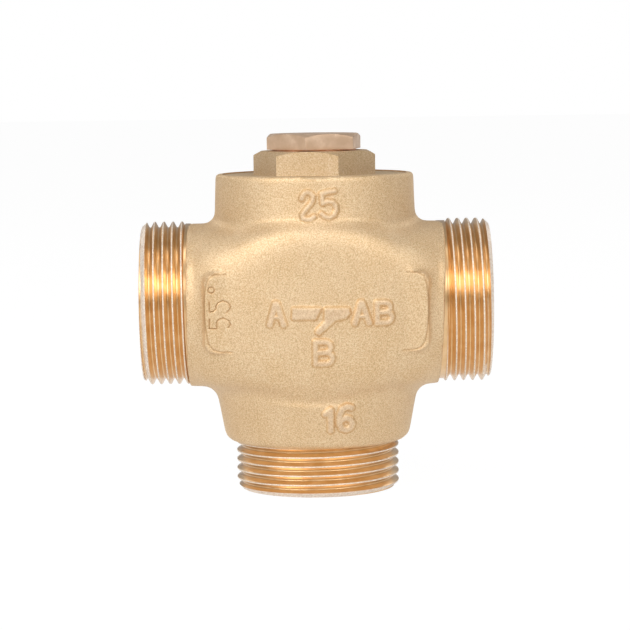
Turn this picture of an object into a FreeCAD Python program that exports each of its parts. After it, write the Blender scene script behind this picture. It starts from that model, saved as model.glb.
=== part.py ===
import FreeCAD, Part
import math
import os

from FreeCAD import Vector

os.makedirs("parts", exist_ok=True)

# Anti-condensation valve: a cast brass three-port body with a wax thermostat inside.
# Millimetres. The origin is the centre of the bottom port's end face, +Z is up, and
# the run from port A to port AB lies along +X. Heights named "level" are measured
# from the axis of that run, and at() turns them into Z.

# Ports
thread_diameter = 41.91
thread_length = 12.0
thread_chamfer = 1.45
thread_chamfer_length = 1.7
thread_land = 1.2
thread_root = 1.0
port_bore = 30.0
bore_chamfer = 0.6
barrel_stub = 6.9
neck_floor = 5.0

# Casting: run, dome and pads
casting_step = 0.25
casting_drop = 0.6
dome_margin = 3.7
dome_squareness = 7.0
upper_fillet = 3.0
lower_fillet = 4.0
pad_plane = 25.0
pad_outer = 27.6
pad_inner = 17.0
pad_top_level = 9.0
pad_bottom_level = -10.4
pad_corner = 2.5
pad_draft = 1.2
pad_depth = 8.0

# Casting: collar and neck
collar_draft = 0.035
collar_edge = 0.8
neck_wall = 3.25
neck_draft = 0.19
neck_flare_level = -14.0
neck_corner = 2.9
shoulder_gap = 0.3
notch_width = 7.4
notch_depth = 0.5
rim_wall = 1.6
rim_height = 1.7

# Chambers and partition
ledge_level = 5.0
ledge_thickness = 6.0
ledge_width = 3.5
ledge_undercut = 2.5
chamber_floor_level = -27.5
passage_width = 28.0
passage_height = 13.6
passage_margin = 0.2
passage_start = 11.0
passage_step = 0.5
passage_overlap = 0.5
chamber_corner = 2.0

# Cover
cover_seat_level = 31.0
cover_thread_step = 1.0
cover_thread_depth = 5.0
cover_thread_wall = 5.0
cover_flange_step = 0.6
cover_flange_thickness = 1.4
cover_hex = 27.0
cover_hex_height = 6.0
cover_hex_turn = -7.6
cover_web_rise = 1.8
cover_web_corner = 1.0
ring_groove = 1.8
hex_chamfer_angle = 28.0

# End plug and its washer
plug_thread_diameter = 16.0
plug_hex = 22.0
plug_hex_height = 3.9
plug_hex_turn = 20.2
plug_stalk_step = 3.0
plug_stalk_gap = 4.0
plug_socket_depth = 6.0
washer_thickness = 0.4
washer_inset = 0.4

# Thermostat insert, fixed pieces
gasket_thickness = 1.0
plate_thickness = 1.2
main_seat_width = 2.5
circlip_thickness = 1.0
circlip_width = 2.3
circlip_groove_depth = 0.8
circlip_gap_angle = 24.0
circlip_lug = 2.0
circlip_eye = 1.5
frame_width = 8.0
frame_gauge = 1.0
frame_gap = 0.7
frame_seat_level = -12.0
frame_seat_margin = 1.7
frame_tab_extra = 2.0
frame_tab_height = 0.8

# Thermostat insert, moving pieces
valve_travel = 7.0
main_disc_margin = 3.2
main_disc_web = 1.5
main_seal_height = 1.0
main_seal_lap = 0.8
hub_diameter = 19.0
capsule_diameter = 16.0
capsule_edge = 1.0
capsule_collar_step = 1.2
capsule_collar_height = 1.2
guide_spigot_diameter = 11.0
guide_spigot_depth = 6.5
guide_body_diameter = 12.8
guide_flange_diameter = 15.2
guide_flange_height = 2.5
guide_nose_diameter = 10.0
guide_nose_height = 5.5
pin_diameter = 4.4
pin_reach = 10.5
pin_end_play = 0.5
pin_ring_height = 1.4
pin_ring_width = 1.1
pin_ring_lip = 1.6
return_wire = 1.6
return_spring_gap = 1.5
return_turns = 4.25

# Bypass valve on the capsule's stem
seat_ring_margin = 1.5
seat_ring_width = 5.0
seat_ring_thickness = 3.0
seat_lip_height = 0.5
seat_lip_width = 1.4
bypass_disc_margin = 2.0
bypass_disc_thickness = 1.5
bypass_seal_lap = 0.7
bypass_seal_height = 0.7
bypass_yield = 1.5
stem_diameter = 5.0
stem_seat_depth = 2.0
stem_tail = 1.2
clip_thickness = 0.8
clip_reach = 1.9
clip_groove_depth = 0.7
clip_mouth = 3.4
bypass_wire = 0.8
bypass_spring_gap = 2.1
bypass_turns = 2.5
bypass_spring_spare = 0.9

# Clearances, each on a radius or a face
running_clearance = 0.05
thread_clearance = 0.05
press_clearance = 0.02
loose_clearance = 0.3
seat_clearance = 0.1

# Diameters that follow from the capsule outwards
capsule_collar_diameter = capsule_diameter + 2 * capsule_collar_step
return_coil_diameter = capsule_collar_diameter + return_wire + 2 * return_spring_gap
return_spring_outside = return_coil_diameter + return_wire
frame_seat_diameter = return_spring_outside + 2 * frame_seat_margin
main_disc_diameter = return_spring_outside + 2 * main_disc_margin
plate_hole = main_disc_diameter - 2 * main_seat_width
main_seal_bore = plate_hole - 2 * main_seal_lap
frame_reach = main_disc_diameter + 2 * frame_gap + 2 * frame_gauge
ledge_bore = frame_reach + 2 * loose_clearance
lower_chamber_diameter = ledge_bore + 2 * ledge_undercut
upper_chamber_diameter = ledge_bore + 2 * ledge_width
cover_thread_diameter = upper_chamber_diameter + 2 * cover_thread_step
cover_hollow_diameter = cover_thread_diameter - 2 * cover_thread_wall
ring_groove_diameter = cover_thread_diameter - ring_groove
ring_groove_outside = cover_thread_diameter + ring_groove
cover_recess_diameter = ring_groove_outside + 2 * cover_flange_step
collar_diameter = cover_recess_diameter + 2 * rim_wall

# Other diameters that follow from the piece they fit
neck_foot_diameter = lower_chamber_diameter + 2 * neck_wall
dome_depth = collar_diameter / 2 + dome_margin
seat_ring_diameter = lower_chamber_diameter - 2 * (chamber_corner + seat_ring_margin)
seat_ring_hole = seat_ring_diameter - 2 * seat_ring_width
bypass_seal_bore = seat_ring_hole - 2 * bypass_seal_lap
bypass_disc_diameter = seat_ring_hole + 2 * bypass_disc_margin
bypass_coil_diameter = stem_diameter + bypass_wire + 2 * bypass_spring_gap
clip_diameter = stem_diameter + 2 * clip_reach
plug_stalk_diameter = plug_thread_diameter - 2 * plug_stalk_step
washer_diameter = plug_hex - 2 * washer_inset

# The run and its height above the bottom port
face_to_face = collar_diameter + 2 * (barrel_stub + thread_length)
axis_height = thread_length + neck_floor + seat_ring_thickness - chamber_floor_level
barrel_radius = thread_diameter / 2 - casting_step
barrel_end = face_to_face / 2 - thread_length

# Levels of the cover, the plate and the main disc
cover_thread_end_level = cover_seat_level - cover_thread_depth
cover_web_level = cover_seat_level - cover_web_rise
cover_top_level = cover_seat_level + cover_flange_thickness
cover_hex_level = cover_top_level + cover_hex_height
collar_level = cover_seat_level + rim_height
plug_seat_level = cover_hex_level + washer_thickness
plate_bottom_level = ledge_level + gasket_thickness
plate_top_level = plate_bottom_level + plate_thickness
circlip_top_level = plate_top_level + circlip_thickness
main_disc_bottom_level = plate_bottom_level - main_seal_height - main_disc_web

# Levels of the guide, the pin and the bypass valve
guide_top_level = plate_bottom_level + guide_flange_height + guide_nose_height
pin_ring_level = guide_top_level - pin_ring_lip - pin_ring_height
pin_bottom_level = main_disc_bottom_level - pin_reach
plug_stalk_level = guide_top_level + plug_stalk_gap
pin_top_level = plug_stalk_level + plug_socket_depth
seat_lip_level = chamber_floor_level + seat_lip_height
bypass_bottom_level = seat_lip_level + valve_travel + seat_clearance
bypass_top_level = bypass_bottom_level + bypass_disc_thickness
bypass_spring_length = bypass_turns * bypass_wire + bypass_yield + bypass_spring_spare
capsule_bottom_level = bypass_top_level + bypass_spring_length
clip_bottom_level = bypass_bottom_level - clip_thickness

port_a = Vector(-1, 0, 0)
port_ab = Vector(1, 0, 0)
port_b = Vector(0, 0, -1)


def at(level):
    """Z of a height measured from the axis of the run."""
    return axis_height + level


def polygon(points):
    """Closed polygon through the given corners."""
    return Part.makePolygon(points + points[:1])


def turned(profile):
    """Solid turned about Z from a profile of (radius, z) corners."""
    corners = [Vector(radius, 0, z) for radius, z in profile]
    face = Part.Face(polygon(corners))
    return face.revolve(Vector(0, 0, 0), Vector(0, 0, 1), 360)


def disc(diameter, bottom, top):
    """Upright cylinder."""
    return Part.makeCylinder(diameter / 2, top - bottom, Vector(0, 0, bottom))


def ring(bore, diameter, bottom, top):
    """Upright ring with a rectangular section."""
    return disc(diameter, bottom, top).cut(disc(bore, bottom, top))


def hexagon(across_flats, bottom, top, turn):
    """Hexagonal head with a turned chamfer on top; one flat faces -Y before the turn."""
    flat_radius = across_flats / 2
    corner_radius = flat_radius / math.cos(math.radians(30))
    chamfer_height = (corner_radius - flat_radius) * math.tan(math.radians(hex_chamfer_angle))
    angles = [math.radians(60 * k + turn) for k in range(6)]
    corners = [Vector(corner_radius * math.cos(a), corner_radius * math.sin(a), bottom) for a in angles]
    prism = Part.Face(polygon(corners)).extrude(Vector(0, 0, top - bottom))
    blank = turned([
        (0, bottom),
        (corner_radius, bottom),
        (corner_radius, top - chamfer_height),
        (flat_radius, top),
        (0, top),
    ])
    return prism.common(blank)


def coil(coil_diameter, wire, turns, bottom, top):
    """Compression spring whose two ends are ground flat."""
    height = top - bottom
    helix = Part.makeHelix(height / turns, height, coil_diameter / 2)
    helix.translate(Vector(0, 0, bottom))
    start = Vector(coil_diameter / 2, 0, bottom)
    section = Part.Wire(Part.makeCircle(wire / 2, start, Vector(0, 1, 0)))
    swept = Part.Wire(helix).makePipeShell([section], True, True)
    outside = coil_diameter + 3 * wire
    return swept.common(disc(outside, bottom, top))


def write(name, shape):
    """Write one sub-part to its own file."""
    if not shape.isValid() or not shape.Solids:
        raise ValueError(name + " is not a valid solid")
    shape.exportStep("parts/" + name + ".step")
    print(name, len(shape.Solids), round(shape.Volume, 1))


def barrel_section(x):
    """Section of the run at x: round at the ports and nearly square at the dome."""
    drop = dome_depth - barrel_radius
    arc_radius = (barrel_end**2 + drop**2) / (2 * drop)
    depth = dome_depth - arc_radius + math.sqrt(arc_radius**2 - x**2)
    blend = (1 - (x / barrel_end) ** 2) ** 1.5
    power = 2 + (dome_squareness - 2) * blend
    points = []
    count = 28
    for k in range(count):
        angle = 2 * math.pi * (k + 0.5) / count
        across = math.copysign(abs(math.cos(angle)) ** (2 / power), math.cos(angle))
        upward = math.copysign(abs(math.sin(angle)) ** (2 / power), math.sin(angle))
        points.append(Vector(x, depth * across, at(barrel_radius * upward - casting_drop)))
    curve = Part.BSplineCurve()
    curve.interpolate(Points=points, PeriodicFlag=True)
    return Part.Wire(curve.toShape())


def casting_outside():
    """Run with its dome, crossed by the collar above and the neck below."""
    stations = [barrel_end * k / 3 for k in range(-3, 4)]
    run = Part.makeLoft([barrel_section(x) for x in stations], True, False)
    collar_radius = collar_diameter / 2
    neck_radius = neck_foot_diameter / 2
    shoulder = thread_length + shoulder_gap
    flare = at(neck_flare_level)
    stem = turned([
        (0, at(collar_level)),
        (collar_radius, at(collar_level)),
        (collar_radius + collar_draft * collar_level, at(0)),
        (neck_radius + neck_draft * (flare - shoulder), flare),
        (neck_radius, shoulder),
        (0, shoulder),
    ])
    stem = round_level_edges(stem, at(collar_level), collar_edge)
    stem = round_level_edges(stem, shoulder, neck_corner)
    outside = run.fuse(stem).removeSplitter()
    outside = round_crossing(outside, at(0), at(barrel_radius), upper_fillet)
    return round_crossing(outside, at(-barrel_radius - casting_drop) - 1, at(0), lower_fillet)


def round_level_edges(shape, z, radius):
    """Round the circular edges that lie flat at one height."""
    near = 0.01
    edges = [e for e in shape.Edges if abs(e.BoundBox.ZMin - z) < near and abs(e.BoundBox.ZMax - z) < near]
    return shape.makeFillet(radius, edges)


def round_crossing(shape, low, high, radius):
    """Round the closed line, between two heights, where the run meets the collar or the neck."""
    edges = []
    for edge in shape.Edges:
        box = edge.BoundBox
        between = low < box.ZMin and box.ZMax < high
        across = max(box.XLength, box.YLength)
        inside_ports = max(abs(box.XMin), abs(box.XMax)) < barrel_end - 1
        if between and inside_ports and box.ZLength < across / 2:
            edges.append(edge)
    return shape.makeFillet(radius, edges)


def pad(side):
    """Flat cast pad beside the dome, with drafted edges."""
    inner = pad_inner * side
    outer = pad_outer * side
    low = at(pad_bottom_level)
    high = at(pad_top_level)
    faces = []
    for spread, y in ((0.0, -pad_plane), (pad_draft, pad_depth - pad_plane)):
        corners = [
            Vector(inner, y, low - spread),
            Vector(outer + spread * side, y, low - spread),
            Vector(outer + spread * side, y, high + spread),
            Vector(inner, y, high + spread),
        ]
        faces.append(polygon(corners))
    block = Part.makeLoft(faces, True, True)
    beyond = (pad_inner + pad_outer) / 2
    edges = [e for e in block.Edges if e.BoundBox.YLength > 1 and abs(e.BoundBox.Center.x) > beyond]
    return block.makeFillet(pad_corner, edges)


def threaded_end():
    """Turned end of one port along +Z, from its plain land in the casting to its end face."""
    radius = thread_diameter / 2
    return turned([
        (0, -thread_length - thread_root),
        (radius - casting_step, -thread_length - thread_root),
        (radius - casting_step, -thread_length + thread_land),
        (radius, -thread_length + thread_land),
        (radius, -thread_chamfer_length),
        (radius - thread_chamfer, 0),
        (0, 0),
    ])


def place_port(shape, direction):
    """Turn a shape made along +Z to a port: its Z = 0 goes to that port's end face."""
    moved = shape.copy()
    if direction.z < 0:
        moved.rotate(Vector(0, 0, 0), Vector(1, 0, 0), 180)
        return moved
    moved.rotate(Vector(0, 0, 0), Vector(0, 1, 0), 90 * direction.x)
    moved.translate(Vector(direction.x * face_to_face / 2, 0, axis_height))
    return moved


def bore_tool(depth):
    """Port bore along -Z from the end face, with a small chamfer at the mouth."""
    radius = port_bore / 2
    return turned([
        (0, 1),
        (radius + bore_chamfer, 1),
        (radius + bore_chamfer, 0),
        (radius, -bore_chamfer),
        (radius, -depth),
        (0, -depth),
    ])


def passage(side, middle_level, chamber_diameter):
    """Cast passage from a port bore to the flat opening of its chamber."""
    start = (face_to_face / 2 - passage_start) * side
    end = chamber_diameter / 2 * side
    inside = end - chamber_diameter / 8 * side
    stations = (
        (start, 0.0, port_bore / 2 - passage_step, port_bore / 2 - passage_step),
        (end, middle_level, passage_width / 2, passage_height / 2),
        (inside, middle_level, passage_width / 2, passage_height / 2),
    )
    wires = []
    for x, level, half_width, half_height in stations:
        points = []
        for k in range(24):
            angle = 2 * math.pi * k / 24
            across = half_width * math.cos(angle)
            upward = half_height * math.sin(angle)
            points.append(Vector(x, across, at(level) + upward))
        curve = Part.BSplineCurve()
        curve.interpolate(Points=points, PeriodicFlag=True)
        wires.append(Part.Wire(curve.toShape()))
    return Part.makeLoft(wires, True, True)


def valve_body():
    """Cast and machined body with its three ports, two chambers and the ledge between."""
    body = casting_outside()
    body = body.fuse([pad(-1), pad(1)])
    ends = [place_port(threaded_end(), d) for d in (port_a, port_ab, port_b)]
    body = body.fuse(ends).removeSplitter()

    ledge_bottom = ledge_level - ledge_thickness
    upper_level = ledge_level + passage_height / 2 + passage_margin
    lower_level = ledge_bottom - passage_height / 2 - passage_margin
    chambers = turned([
        (0, at(collar_level + 1)),
        (cover_recess_diameter / 2, at(collar_level + 1)),
        (cover_recess_diameter / 2, at(cover_seat_level)),
        (ring_groove_outside / 2, at(cover_seat_level)),
        (ring_groove_outside / 2, at(cover_seat_level - ring_groove)),
        (cover_thread_diameter / 2, at(cover_seat_level - ring_groove)),
        (cover_thread_diameter / 2, at(cover_thread_end_level - 1)),
        (upper_chamber_diameter / 2, at(cover_thread_end_level - 2)),
        (upper_chamber_diameter / 2, at(circlip_top_level)),
        (upper_chamber_diameter / 2 + circlip_groove_depth, at(circlip_top_level)),
        (upper_chamber_diameter / 2 + circlip_groove_depth, at(plate_top_level)),
        (upper_chamber_diameter / 2, at(plate_top_level)),
        (upper_chamber_diameter / 2, at(ledge_level)),
        (ledge_bore / 2, at(ledge_level)),
        (ledge_bore / 2, at(ledge_bottom)),
        (lower_chamber_diameter / 2, at(ledge_bottom - chamber_corner)),
        (lower_chamber_diameter / 2, at(chamber_floor_level + chamber_corner)),
        (lower_chamber_diameter / 2 - chamber_corner, at(chamber_floor_level)),
        (seat_ring_diameter / 2, at(chamber_floor_level)),
        (seat_ring_diameter / 2, at(chamber_floor_level - seat_ring_thickness)),
        (0, at(chamber_floor_level - seat_ring_thickness)),
    ])
    side_depth = passage_start + passage_overlap
    lower_depth = at(chamber_floor_level) - seat_ring_thickness + passage_overlap
    tools = [
        chambers,
        place_port(bore_tool(side_depth), port_a),
        place_port(bore_tool(side_depth), port_ab),
        place_port(bore_tool(lower_depth), port_b),
        passage(-1, upper_level, upper_chamber_diameter),
        passage(1, lower_level, lower_chamber_diameter),
        rim_notch(),
    ]
    for tool in tools:
        body = body.cut(tool)
    return body


def rim_notch():
    """Shallow scoop across the front of the collar's rim."""
    radius = (notch_width**2 / 4 + notch_depth**2) / (2 * notch_depth)
    centre = Vector(0, -collar_diameter / 2 - 2, at(collar_level - notch_depth) + radius)
    return Part.makeCylinder(radius, rim_wall + 3, centre, Vector(0, 1, 0))


def cover():
    """Screwed cover with a rough hexagon cast on it."""
    thread_radius = cover_thread_diameter / 2 - thread_clearance
    flange_radius = cover_recess_diameter / 2 - loose_clearance
    lid = turned([
        (0, at(cover_top_level)),
        (flange_radius, at(cover_top_level)),
        (flange_radius, at(cover_seat_level)),
        (ring_groove_diameter / 2, at(cover_seat_level)),
        (ring_groove_diameter / 2, at(cover_seat_level - ring_groove)),
        (thread_radius, at(cover_seat_level - ring_groove)),
        (thread_radius, at(cover_thread_end_level)),
        (cover_hollow_diameter / 2, at(cover_thread_end_level)),
        (cover_hollow_diameter / 2, at(cover_web_level - cover_web_corner)),
        (cover_hollow_diameter / 2 - cover_web_corner, at(cover_web_level)),
        (0, at(cover_web_level)),
    ])
    head = hexagon(cover_hex, at(cover_top_level), at(cover_hex_level), cover_hex_turn)
    lid = lid.fuse(head)
    return lid.cut(disc(plug_thread_diameter, at(cover_web_level - 1), at(cover_hex_level + 1)))


def cover_o_ring():
    """Rubber ring squeezed under the cover's flange."""
    bore = ring_groove_diameter + 2 * press_clearance
    outside = ring_groove_outside - 2 * press_clearance
    seal = ring(bore, outside, at(cover_seat_level - ring_groove), at(cover_seat_level))
    return seal.makeFillet(0.4, [e for e in seal.Edges if e.Length > outside])


def end_plug():
    """Plug with the smaller hexagon; its stalk holds the piston pin's end."""
    thread_radius = plug_thread_diameter / 2 - thread_clearance
    shank = turned([
        (0, at(plug_seat_level)),
        (thread_radius, at(plug_seat_level)),
        (thread_radius, at(cover_web_level)),
        (plug_stalk_diameter / 2, at(cover_web_level - 1)),
        (plug_stalk_diameter / 2, at(plug_stalk_level + 0.5)),
        (plug_stalk_diameter / 2 - 0.5, at(plug_stalk_level)),
        (0, at(plug_stalk_level)),
    ])
    head = hexagon(plug_hex, at(plug_seat_level), at(plug_seat_level + plug_hex_height), plug_hex_turn)
    socket = disc(pin_diameter + 2 * running_clearance, at(plug_stalk_level - 1), at(pin_top_level))
    return head.fuse(shank).cut(socket)


def plug_washer():
    """Thin sealing washer under the plug's hexagon."""
    bore = plug_thread_diameter + 2 * loose_clearance
    return ring(bore, washer_diameter, at(cover_hex_level), at(plug_seat_level))


def plate_gasket():
    """Flat gasket between the ledge and the seat plate."""
    outside = upper_chamber_diameter - 2 * loose_clearance
    return ring(ledge_bore, outside, at(ledge_level), at(plate_bottom_level))


def legs(width, grow, bottom, top):
    """The frame's two curved legs, or their slots when grown by a clearance."""
    outer = frame_reach + 2 * grow
    inner = frame_reach - 2 * frame_gauge - 2 * grow
    return ring(inner, outer, bottom, top).common(strap(width + 2 * grow, bottom, top))


def strap(width, bottom, top):
    """Flat bar across the insert along Y, longer than the frame."""
    length = frame_reach + 2 * frame_width
    return Part.makeBox(width, length, top - bottom, Vector(-width / 2, -length / 2, bottom))


def seat_plate():
    """Stamped plate that carries the main seat and the frame's legs."""
    outside = upper_chamber_diameter - 2 * loose_clearance
    plate = ring(plate_hole, outside, at(plate_bottom_level), at(plate_top_level))
    slots = legs(frame_width, running_clearance, at(plate_bottom_level), at(plate_top_level))
    return plate.cut(slots)


def retaining_ring():
    """Internal circlip over the seat plate, with two eyed lugs at its gap."""
    outer = upper_chamber_diameter / 2 + circlip_groove_depth - running_clearance
    inner = outer - circlip_width
    bottom = at(plate_top_level)
    top = at(circlip_top_level)
    band = ring(2 * inner, 2 * outer, bottom, top)
    reach = outer + 2
    half = math.radians(circlip_gap_angle / 2)
    wedge = Part.Face(polygon([
        Vector(0, 0, bottom),
        Vector(-reach * math.sin(half), reach * math.cos(half), bottom),
        Vector(reach * math.sin(half), reach * math.cos(half), bottom),
    ])).extrude(Vector(0, 0, circlip_thickness))
    band = band.cut(wedge)
    lug_angle = half + circlip_lug / inner
    for side in (-1, 1):
        centre = Vector(side * inner * math.sin(lug_angle), inner * math.cos(lug_angle), bottom)
        band = band.fuse(Part.makeCylinder(circlip_lug, circlip_thickness, centre))
    for side in (-1, 1):
        centre = Vector(side * inner * math.sin(lug_angle), inner * math.cos(lug_angle), bottom)
        band = band.cut(Part.makeCylinder(circlip_eye / 2, circlip_thickness, centre))
    groove = disc(2 * outer, bottom, top)
    return band.common(groove)


def lower_frame():
    """Stirrup that hangs from the seat plate and carries the return spring."""
    seat_top = at(frame_seat_level)
    seat_bottom = seat_top - frame_gauge
    tab_top = at(plate_top_level) + frame_tab_height
    arms = strap(frame_width, seat_bottom, seat_top).common(disc(frame_reach, seat_bottom, seat_top))
    seat = disc(frame_seat_diameter, seat_bottom, seat_top)
    uprights = legs(frame_width, 0, seat_bottom, tab_top)
    tabs = legs(frame_width + frame_tab_extra, 0, at(plate_top_level), tab_top)
    frame = seat.fuse([arms, uprights, tabs]).removeSplitter()
    return frame.cut(disc(capsule_diameter + 2 * loose_clearance, seat_bottom - 1, seat_top + 1))


def main_valve_disc():
    """Turned valve disc clamped between the capsule and its guide."""
    bore = guide_body_diameter / 2 + press_clearance
    return turned([
        (bore, at(main_disc_bottom_level)),
        (main_disc_diameter / 2, at(main_disc_bottom_level)),
        (main_disc_diameter / 2, at(plate_bottom_level - main_seal_height)),
        (hub_diameter / 2, at(plate_bottom_level - main_seal_height)),
        (hub_diameter / 2, at(plate_bottom_level)),
        (bore, at(plate_bottom_level)),
    ])


def main_valve_seal():
    """Rubber ring on the main disc that closes on the seat plate."""
    bottom = at(plate_bottom_level - main_seal_height)
    return ring(main_seal_bore, main_disc_diameter, bottom, at(plate_bottom_level))


def wax_capsule():
    """Sealed wax element: a deep cup with a collar, closed by the guide."""
    radius = capsule_diameter / 2
    bottom = capsule_bottom_level
    top = main_disc_bottom_level
    cup = turned([
        (0, at(bottom)),
        (radius - capsule_edge, at(bottom)),
        (radius, at(bottom + capsule_edge)),
        (radius, at(top - capsule_collar_height)),
        (capsule_collar_diameter / 2, at(top - capsule_collar_height)),
        (capsule_collar_diameter / 2, at(top)),
        (0, at(top)),
    ])
    spigot = disc(guide_spigot_diameter + 2 * press_clearance, at(top - guide_spigot_depth), at(top + 1))
    well = disc(pin_diameter + 4 * running_clearance, at(pin_bottom_level - pin_end_play), at(top))
    stem_hole = disc(stem_diameter + 2 * press_clearance, at(bottom - 1), at(bottom + stem_seat_depth))
    return cup.cut([spigot, well, stem_hole])


def element_guide():
    """Brass guide that closes the capsule, clamps the disc and guides the pin."""
    spigot_bottom = main_disc_bottom_level - guide_spigot_depth
    flange_top = plate_bottom_level + guide_flange_height
    blank = turned([
        (0, at(spigot_bottom)),
        (guide_spigot_diameter / 2, at(spigot_bottom)),
        (guide_spigot_diameter / 2, at(main_disc_bottom_level)),
        (guide_body_diameter / 2, at(main_disc_bottom_level)),
        (guide_body_diameter / 2, at(plate_bottom_level)),
        (guide_flange_diameter / 2, at(plate_bottom_level)),
        (guide_flange_diameter / 2, at(flange_top - 0.6)),
        (guide_nose_diameter / 2 + 0.4, at(flange_top)),
        (guide_nose_diameter / 2, at(guide_top_level - 0.8)),
        (guide_nose_diameter / 2 - 0.8, at(guide_top_level)),
        (0, at(guide_top_level)),
    ])
    bore = disc(pin_diameter + 2 * running_clearance, at(spigot_bottom - 1), at(guide_top_level + 1))
    groove_top = at(pin_ring_level + pin_ring_height)
    groove = disc(pin_diameter + 2 * pin_ring_width, at(pin_ring_level), groove_top)
    return blank.cut([bore, groove])


def pin_wiper_ring():
    """Small rubber ring that keeps water out of the guide."""
    bore = pin_diameter + 2 * running_clearance
    outside = pin_diameter + 2 * pin_ring_width - 2 * press_clearance
    return ring(bore, outside, at(pin_ring_level), at(pin_ring_level + pin_ring_height))


def piston_pin():
    """Ground pin that stands in the plug and that the element climbs down."""
    radius = pin_diameter / 2
    return turned([
        (0, at(pin_bottom_level)),
        (radius - 0.6, at(pin_bottom_level)),
        (radius, at(pin_bottom_level) + 1),
        (radius, at(pin_top_level) - 0.4),
        (radius - 0.4, at(pin_top_level)),
        (0, at(pin_top_level)),
    ])


def return_spring():
    """Spring that pushes the main disc back up to its seat."""
    bottom = at(frame_seat_level)
    return coil(return_coil_diameter, return_wire, return_turns, bottom, at(main_disc_bottom_level))


def bypass_stem():
    """Stem under the capsule with a groove for its clip."""
    radius = stem_diameter / 2
    groove = radius - clip_groove_depth
    tail = clip_bottom_level - stem_tail
    return turned([
        (0, at(capsule_bottom_level + stem_seat_depth)),
        (radius, at(capsule_bottom_level + stem_seat_depth)),
        (radius, at(bypass_bottom_level)),
        (groove, at(bypass_bottom_level)),
        (groove, at(clip_bottom_level)),
        (radius, at(clip_bottom_level)),
        (radius, at(tail + 0.5)),
        (radius - 0.5, at(tail)),
        (0, at(tail)),
    ])


def bypass_disc():
    """Disc that slides on the stem, with a step for its seal."""
    bore = stem_diameter / 2 + running_clearance
    return turned([
        (bore, at(bypass_bottom_level)),
        (bypass_seal_bore / 2, at(bypass_bottom_level)),
        (bypass_seal_bore / 2, at(bypass_bottom_level + bypass_seal_height)),
        (bypass_disc_diameter / 2, at(bypass_bottom_level + bypass_seal_height)),
        (bypass_disc_diameter / 2, at(bypass_top_level)),
        (bore, at(bypass_top_level)),
    ])


def bypass_seal():
    """Rubber ring on the bypass disc that closes on the seat ring's lip."""
    bottom = at(bypass_bottom_level)
    return ring(bypass_seal_bore, bypass_disc_diameter, bottom, bottom + bypass_seal_height)


def bypass_spring():
    """Light spring that lets the bypass disc yield when it stands on its seat."""
    bottom = at(bypass_top_level)
    return coil(bypass_coil_diameter, bypass_wire, bypass_turns, bottom, at(capsule_bottom_level))


def stem_clip():
    """E-clip in the stem's groove that stops the bypass disc."""
    groove = stem_diameter - 2 * clip_groove_depth + 2 * press_clearance
    bottom = at(clip_bottom_level)
    clip = ring(groove, clip_diameter, bottom, bottom + clip_thickness)
    mouth = Part.makeBox(clip_mouth, clip_diameter, clip_thickness, Vector(-clip_mouth / 2, 0, bottom))
    return clip.cut(mouth)


def bypass_seat_ring():
    """Ring pressed into the chamber's floor, with the raised bypass seat."""
    outer = seat_ring_diameter / 2 - press_clearance
    hole = seat_ring_hole / 2
    floor = at(chamber_floor_level)
    return turned([
        (hole, floor - seat_ring_thickness),
        (outer, floor - seat_ring_thickness),
        (outer, floor),
        (hole + seat_lip_width, floor),
        (hole + seat_lip_width, at(seat_lip_level)),
        (hole, at(seat_lip_level)),
    ])


write("valve_body", valve_body())
write("cover", cover())
write("cover_o_ring", cover_o_ring())
write("end_plug", end_plug())
write("plug_washer", plug_washer())
write("seat_plate", seat_plate())
write("plate_gasket", plate_gasket())
write("retaining_ring", retaining_ring())
write("lower_frame", lower_frame())
write("main_valve_disc", main_valve_disc())
write("main_valve_seal", main_valve_seal())
write("wax_capsule", wax_capsule())
write("element_guide", element_guide())
write("pin_wiper_ring", pin_wiper_ring())
write("piston_pin", piston_pin())
write("return_spring", return_spring())
write("bypass_stem", bypass_stem())
write("bypass_disc", bypass_disc())
write("bypass_seal", bypass_seal())
write("bypass_spring", bypass_spring())
write("stem_clip", stem_clip())
write("bypass_seat_ring", bypass_seat_ring())
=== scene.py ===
import math

import bmesh
import bpy
from mathutils import Matrix, Vector, noise


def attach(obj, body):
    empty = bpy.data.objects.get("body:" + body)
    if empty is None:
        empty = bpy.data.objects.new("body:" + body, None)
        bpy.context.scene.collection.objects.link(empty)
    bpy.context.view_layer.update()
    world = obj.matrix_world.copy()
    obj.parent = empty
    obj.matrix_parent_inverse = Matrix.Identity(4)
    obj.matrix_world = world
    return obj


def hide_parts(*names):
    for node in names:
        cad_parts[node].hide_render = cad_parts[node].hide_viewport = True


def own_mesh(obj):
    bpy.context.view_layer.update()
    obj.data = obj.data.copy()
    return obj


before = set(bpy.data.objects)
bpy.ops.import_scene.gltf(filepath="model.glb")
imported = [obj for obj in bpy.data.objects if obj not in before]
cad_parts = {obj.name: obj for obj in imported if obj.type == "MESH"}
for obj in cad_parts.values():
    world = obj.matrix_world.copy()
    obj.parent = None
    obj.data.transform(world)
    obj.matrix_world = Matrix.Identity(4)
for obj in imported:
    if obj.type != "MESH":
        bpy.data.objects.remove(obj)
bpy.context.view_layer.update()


# The camera stands 0.62 m in front of the marks, a little above the run and turned by under
# a degree, as the outline of the body and of its three ports gives it.
MM = 0.001
axis_height = 47.5 * MM
scene = bpy.context.scene
camera_turn = math.radians(-0.298)
camera_rise = math.radians(5.507)
camera_roll = math.radians(-0.741)
camera_distance = 0.6248
camera_aim = Vector((-0.28 * MM, 0, axis_height - 3.63 * MM))
camera_lens = 139.68
camera_nearest = 0.01

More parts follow.
